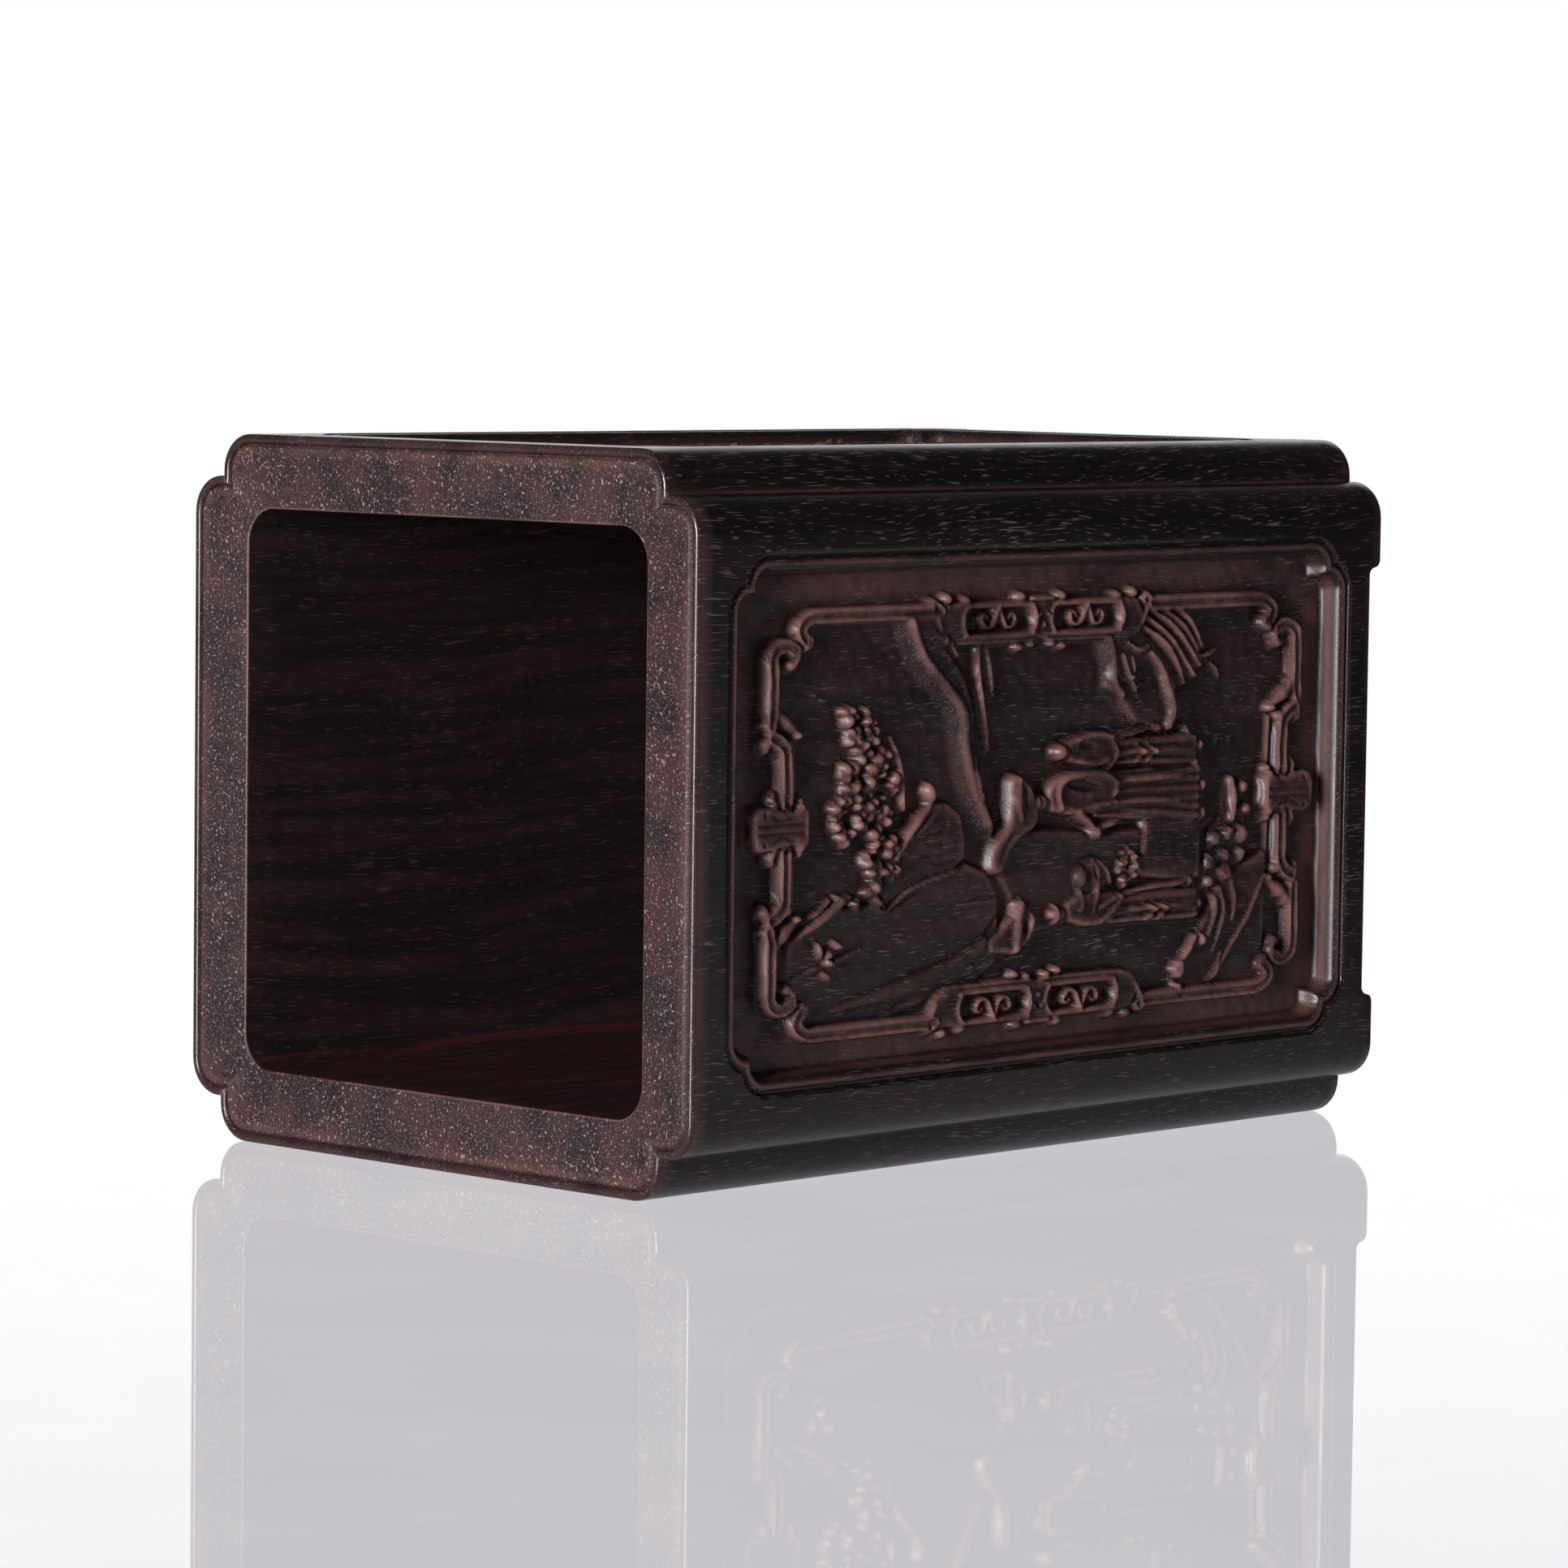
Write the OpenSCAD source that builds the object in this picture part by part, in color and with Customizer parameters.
// Square brush holder pot with indented corners.
// Four carved wall boards meet in mitres that run into the indented corners.
// Each mitre is locked by a loose hidden tongue, and the floor sits in a groove.
// Millimetres, +Z up through the mouth, origin on the ground under the middle.

/* [Overall size] */
// outside width of each of the four sides
pot_w = 110; // [104:1:120]
// height from the ground to the lip
pot_h = 158; // [152:1:170]
// thickness of the wall boards
wall_t = 11.5; // [10.5:0.5:12.5]

/* [Indented corners] */
// how far each corner steps in from the two sides
notch = 6.6; // [6:0.2:7.4]
// radius of the rounded lobe on each side of the step
lobe_r = 5.7; // [4:0.1:6]
// radius of the upright corners inside the pot
inner_r = 5.5; // [4:0.5:7]

/* [Lip] */
// width of the bead that runs round the outside of the lip
lip_bead_w = 1.4; // [1:0.1:2]
// width of the fine groove inside the bead
lip_groove_w = 0.5; // [0.3:0.1:0.8]
// depth of that groove
lip_groove_d = 1.1; // [0.6:0.1:1.4]
// how far the lip starts below the bead
lip_outer_drop = 0.5; // [0.3:0.1:0.8]
// how far the lip has fallen at the opening
lip_inner_drop = 1.6; // [1:0.1:2.5]

/* [Feet] */
// height of the four corner feet
foot_h = 2.6; // [2:0.1:4.5]
// half width of the raised edge between two feet
foot_gap = 33.4; // [28:0.2:36]

/* [Carved panel] */
// width of the framed panel on each side
panel_w = 79.4; // [78:0.2:82]
// height of the framed panel
panel_h = 143.2; // [140:0.2:144]
// how far the corners of the frame step in
panel_notch = 3.6; // [3:0.2:5]
// radius of the frame's outer corners
panel_corner_r = 5; // [4:0.2:6]
// width of the groove outside the frame bead
frame_groove_w = 0.6; // [0.4:0.1:0.8]
// depth of that groove
frame_groove_d = 0.8; // [0.4:0.1:1.2]
// width of the frame bead
frame_bead_w = 1.7; // [1.2:0.1:2]
// width of the ledge inside the bead
frame_ledge_w = 1; // [0.8:0.1:2]
// depth of the ledge
frame_ledge_d = 0.9; // [0.5:0.1:1.5]
// depth of the carved ground below the face
field_d = 4.2; // [3.6:0.1:4.6]
// depth of the scroll border's top below the face
scroll_d = 2; // [1.5:0.1:2.5]
// width of the scroll ribbon
ribbon_w = 2.4; // [2:0.1:2.8]

/* [Floor] */
// underside of the floor board above the ground
floor_z = 6.5; // [6:0.5:9]
// thickness of the floor board
floor_t = 6; // [5:0.5:8]
// thickness of the tongue round the floor board
tongue_t = 3; // [2:0.5:3]
// how far the tongue reaches into the walls
tongue_l = 2.8; // [2:0.2:3]

/* [Corner tongues] */
// width of the loose tongue across the mitre
key_w = 5; // [4:0.5:5.5]
// thickness of the loose tongue
key_t = 1.6; // [1.2:0.1:2]
// distance the tongue stops short of the lip
key_stop = 9; // [6:1:20]

/* [Hidden] */
$fn = 64;
EPS = 0.01;

half_w = pot_w / 2;
inner_half = half_w - wall_t;
groove_half = inner_half + tongue_l + 0.3;
tongue_z = floor_z + (floor_t - tongue_t) / 2;
key_z = floor_z + floor_t + 3;
key_len = pot_h - key_stop - key_z;
key_mid = half_w - (notch + wall_t) / 2 - 0.6;
panel_mid_z = pot_h / 2 + 0.4;
bead_in = frame_groove_w + frame_bead_w;
field_in = bead_in + frame_ledge_w;
border_x = panel_w / 2 - 9.1;
border_z = panel_h / 2 - 11.9;
step_z = border_z - 3.8;
case_x = border_x - 1.5;
case_half = 24.5;
wood_dark = [0.16, 0.09, 0.09];
wood_floor = [0.22, 0.12, 0.11];
wood_key = [0.42, 0.28, 0.2];

// ---------- plain outlines ----------

// rectangle of half sizes hx and hy with rounded corners
module rounded_rect(hx, hy, r) {
    square([2 * hx, 2 * (hy - r)], center = true);
    square([2 * (hx - r), 2 * hy], center = true);
    for (sx = [-1, 1], sy = [-1, 1])
        translate([sx * (hx - r), sy * (hy - r)])
            circle(r);
}

// rectangle whose four corners step in by n, each step between two lobes of radius r
module indented_rect(hx, hy, n, r) {
    rounded_rect(hx, hy - n, r);
    rounded_rect(hx - n, hy, r);
}

// the pot's plan, moved inward by d
module pot_outline(d = 0) {
    indented_rect(half_w - d, half_w - d, notch, lobe_r - d);
}

// the frame's outline on the face, moved inward by d
module frame_outline(d = 0) {
    indented_rect(panel_w / 2 - d, panel_h / 2 - d, panel_notch, max(panel_corner_r - d, 0.8));
}

// ---------- helpers that work on the front face ----------

// flat shape cut or raised between two depths below the face, z measured from the panel's middle
module on_face(deep, shallow) {
    translate([0, deep - half_w, panel_mid_z])
        rotate([90, 0, 0])
            linear_extrude(deep - shallow)
                children();
}

// places a solid on the carved ground, x across and z up from the panel's middle
module on_ground(x, z, lift = 0) {
    translate([x, field_d - half_w - lift, panel_mid_z + z])
        children();
}

// straight bar of width w between two points
module bar(a, b, w) {
    run = b - a;
    translate(a)
        rotate(atan2(run.y, run.x))
            translate([0, -w / 2])
                square([norm(run), w]);
}

// chain of bars with round joints that stand a little proud, as a carver leaves them
module stroke(points, w) {
    for (i = [0 : len(points) - 2])
        bar(points[i], points[i + 1], w);
    for (p = points)
        translate(p)
            circle(w * 0.56);
}

// ---------- scroll border ----------

// small round curl with an open eye
module curl(x, z, r) {
    translate([x, z])
        difference() {
            circle(r);
            circle(r * 0.4);
        }
}

// one quarter of the ribbon, drawn in the upper right corner
module ribbon_quarter() {
    stroke([[border_x, case_half - 1], [border_x, border_z - 10]], ribbon_w);
    stroke([[border_x, border_z - 10], [border_x - 1.2, border_z - 7.6], [border_x - 3.6, border_z - 7]],
           ribbon_w);
    curl(border_x - 4.4, border_z - 8.2, 1.8);
    stroke([[border_x - 3.8, border_z - 3.6], [border_x - 4.4, border_z - 1.2], [border_x - 6.6, border_z],
            [16, border_z], [14, border_z - 1.4], [13, step_z], [3, step_z]],
           ribbon_w);
    curl(border_x - 5.6, border_z - 4, 1.8);
    curl(12.6, border_z + 0.6, 1.6);
    curl(16.6, step_z - 0.6, 1.7);
}

// fluted clasp in the middle of the top and bottom runs
module clasp() {
    translate([0, (border_z + step_z) / 2 + 1.4])
        difference() {
            union() {
                rounded_rect(3.3, 6.2, 1);
                rounded_rect(5, 2.6, 1.4);
            }
            for (sx = [-1, 1])
                translate([sx * 0.9, 0])
                    square([0.5, 13], center = true);
        }
}

// half of the long oval case at mid height, with two open eyes
module side_case() {
    translate([case_x, 0]) {
        difference() {
            union() {
                rounded_rect(3.4, case_half - 2, 3);
                rounded_rect(4.3, 5.6, 1.2);
            }
            for (z = [-16.6, -6.4, 6.4, 16.6])
                translate([0, z])
                    rounded_rect(1.3, 3, 1.2);
        }
        for (sz = [-1, 1], sx = [-1, 1])
            curl(sx * 3.2, sz * (case_half - 1), 1.7);
    }
}

module scroll_border() {
    on_face(field_d + 0.2, scroll_d) {
        for (mx = [0, 1], mz = [0, 1])
            mirror([mx, 0])
                mirror([0, mz])
                    ribbon_quarter();
        for (mz = [0, 1])
            mirror([0, mz])
                clasp();
        for (mx = [0, 1])
            mirror([mx, 0])
                side_case();
    }
}

// ---------- landscape ----------

// half-round body rising from the ground, tapering upward
module robe(x, z, h, r_foot, r_top) {
    on_ground(x, z)
        cylinder(h = h, r1 = r_foot, r2 = r_top);
}

// ball set into the ground so that about half of it shows
module lump(x, z, r) {
    on_ground(x, z)
        sphere(r);
}

// standing scholar in a long robe, feet at (x, z)
module scholar(x, z, h) {
    robe(x, z, h - 4, 2.6, 1.5);
    lump(x, z + h - 2.2, 1.9);
    on_face(field_d + 0.2, field_d - 1.8)
        bar([x - 3.4, z + h * 0.66], [x + 3.4, z + h * 0.7], 2.6);
}

module cliff() {
    on_face(field_d + 0.2, field_d - 0.9)
        polygon([[-29, 44], [-26.5, 43], [-18, 13], [-15, 8], [-18, -31], [-22, -36], [-29, -40]]);
}

module pine() {
    on_face(field_d + 0.2, field_d - 1.6)
        polygon([[-14, 36], [-8, 35], [-2, 30], [-1, 20], [-3, 14], [-8, 13], [-9.5, 22]]);
    for (p = [[-9, 36, 2.6], [-5, 38, 2.8], [-4, 34, 2.4], [-1, 36, 2.6], [2, 42, 3], [0, 44, 2.2],
              [5, 41, 2.4], [6, 36, 2.8], [10, 38, 2.8], [13, 41, 2.4], [15, 38, 2], [3, 33, 2.2]])
        lump(p.x, p.y, min(p.z, field_d - 1));
}

module shore_and_paths() {
    on_face(field_d + 0.2, field_d - 1.7)
        stroke([[-4, 12], [3, 16], [13, 18], [19, 26], [27.5, 31]], 2.4);
    on_face(field_d + 0.2, field_d - 0.9) {
        stroke([[9, 11], [18, 14], [25, 14.6]], 0.9);
        stroke([[14, 9], [21, 12], [25, 12]], 0.9);
        stroke([[-27, -33], [-21, -40], [-13, -43]], 1.6);
        stroke([[-29, -42], [-22, -47], [-15, -52]], 1.6);
        stroke([[9, -28], [16, -27], [21, -22], [24, -16]], 1.8);
    }
}

module rocks() {
    for (p = [[-27, -34, 2.4], [-11, -40, 2.2], [-8, -42, 2.4], [-6.5, -47, 2.8], [-3, -45, 2.2],
              [0, -46, 1.8], [16, -16, 2.6], [20, -15, 2.8], [23, -17, 2.2], [-6, 9, 2.8],
              [-1, 5, 3], [3, 6, 2.8], [-18, 5, 2.6], [-14, 4, 2.2]])
        lump(p.x, p.y, min(p.z, field_d - 1));
}

module landscape() {
    cliff();
    pine();
    shore_and_paths();
    rocks();
    scholar(-16.5, -38, 35);
    scholar(0, -37, 40);
    scholar(8, -36, 33);
}

// ---------- cuts ----------

// groove, ledge and sunk ground of the framed panel
module panel_cut() {
    on_face(frame_groove_d, -1)
        difference() {
            frame_outline();
            frame_outline(frame_groove_w);
        }
    on_face(frame_ledge_d, -1)
        frame_outline(bead_in);
    on_face(field_d, -1)
        frame_outline(field_in);
}

// opening between two feet, with an S-shaped end at each foot
module foot_gap_outline() {
    q = foot_h / 2;
    translate([-foot_gap, -1])
        square([2 * foot_gap, foot_h + 1]);
    for (mx = [0, 1])
        mirror([mx, 0]) {
            translate([foot_gap, q])
                circle(q);
            difference() {
                translate([foot_gap, -1])
                    square([foot_h, q + 1]);
                translate([foot_gap + foot_h, q])
                    circle(q);
                translate([foot_gap + foot_h, -2])
                    square([foot_h, foot_h]);
            }
        }
}

module foot_cut() {
    translate([0, 1, 0])
        rotate([90, 0, 0])
            linear_extrude(half_w + 2)
                foot_gap_outline();
}

// groove beside the bead, and the lip that slopes down to the opening
module lip_cut() {
    slope = atan2(lip_inner_drop - lip_outer_drop, wall_t - lip_bead_w);
    translate([0, 0, pot_h - lip_groove_d])
        linear_extrude(lip_groove_d + 1)
            difference() {
                pot_outline(lip_bead_w);
                pot_outline(lip_bead_w + lip_groove_w);
            }
    intersection() {
        translate([0, 0, pot_h - 4])
            linear_extrude(6)
                pot_outline(lip_bead_w);
        translate([-pot_w, lip_bead_w - half_w, pot_h - lip_outer_drop])
            rotate([-slope, 0, 0])
                translate([0, -5, 0])
                    cube([2 * pot_w, half_w, 5]);
    }
}

// groove in the inside face for the tongue of the floor board
module floor_groove() {
    translate([-groove_half, -groove_half, tongue_z])
        cube([2 * groove_half, groove_half, tongue_t]);
}

// ---------- pieces ----------

module wall() {
    difference() {
        union() {
            difference() {
                linear_extrude(pot_h)
                    intersection() {
                        difference() {
                            pot_outline();
                            rounded_rect(inner_half, inner_half, inner_r);
                        }
                        polygon([[0, 0], [-pot_w, -pot_w], [pot_w, -pot_w]]);
                    }
                panel_cut();
            }
            scroll_border();
            landscape();
        }
        foot_cut();
        lip_cut();
        floor_groove();
        for (sx = [-1, 1])
            translate([sx * key_mid, -key_mid, key_z])
                rotate([0, 0, sx * 45])
                    translate([-key_w / 2, -key_t / 2, 0])
                        cube([key_w, key_t, key_len]);
    }
}

// one loose tongue, standing in the mitre at the front right corner
module key() {
    translate([key_mid, -key_mid, key_z])
        rotate([0, 0, 45])
            translate([-key_w / 2, -key_t / 2, 0])
                cube([key_w, key_t, key_len]);
}

module front_wall() {
    color(wood_dark)
        wall();
}

module right_wall() {
    color(wood_dark)
        rotate([0, 0, 90])
            wall();
}

module back_wall() {
    color(wood_dark)
        rotate([0, 0, 180])
            wall();
}

module left_wall() {
    color(wood_dark)
        rotate([0, 0, 270])
            wall();
}

module base_panel() {
    color(wood_floor) {
        translate([0, 0, floor_z])
            linear_extrude(floor_t)
                rounded_rect(inner_half - 0.1, inner_half - 0.1, inner_r);
        translate([0, 0, tongue_z])
            linear_extrude(tongue_t)
                rounded_rect(inner_half + tongue_l, inner_half + tongue_l, 2);
    }
}

module front_right_key() {
    color(wood_key)
        key();
}

module back_right_key() {
    color(wood_key)
        rotate([0, 0, 90])
            key();
}

module back_left_key() {
    color(wood_key)
        rotate([0, 0, 180])
            key();
}

module front_left_key() {
    color(wood_key)
        rotate([0, 0, 270])
            key();
}

front_wall();
back_wall();
left_wall();
right_wall();
base_panel();
front_left_key();
front_right_key();
back_left_key();
back_right_key();
